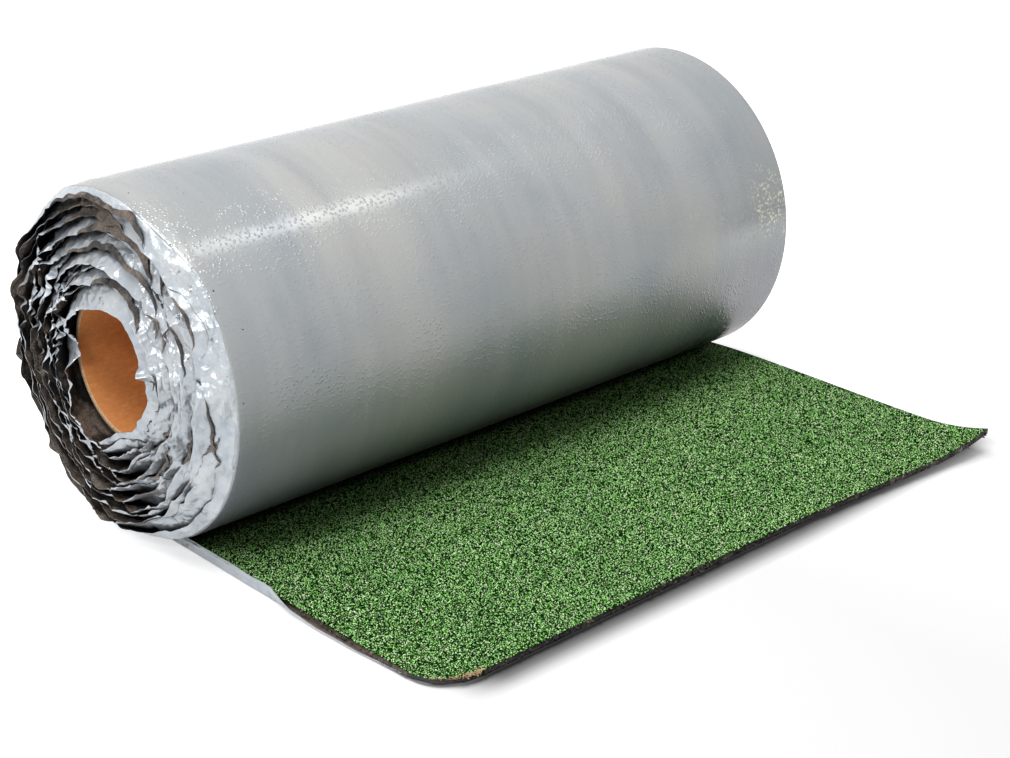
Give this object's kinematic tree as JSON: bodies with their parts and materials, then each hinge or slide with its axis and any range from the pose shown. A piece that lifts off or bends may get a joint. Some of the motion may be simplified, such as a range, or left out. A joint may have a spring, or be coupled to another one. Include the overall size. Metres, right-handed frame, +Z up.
{
  "type": "roll of roofing felt",
  "caption": "Roll of green mineral roofing felt with silver release film on a cardboard core, its loose end laid out in front.",
  "frame": {"origin": "on the floor under the roll's axis, half way along the felt's width, on the flat underside", "axes": "+X along the roll's axis, away from the end where the film stands out; -Y the way the felt unrolls; +Z up"},
  "size_m": [0.5318, 0.4184, 0.2378],
  "materials": {
    "cardboard": "wound kraft board, matt, paler at the cut rim",
    "green_mineral": "green crushed mineral granules with pale and black grains, matt and rough",
    "silver_film": "thin silver-grey plastic film, satin to semi-gloss, faintly mottled, creased at its free edges",
    "bitumen": "black-brown bitumen at the cut edges and on the film's inner face"
  },
  "bodies": {
    "root": {"core_tube": "cardboard", "felt": "green_mineral", "release_film": "silver_film"}
  },
  "joints": []
}
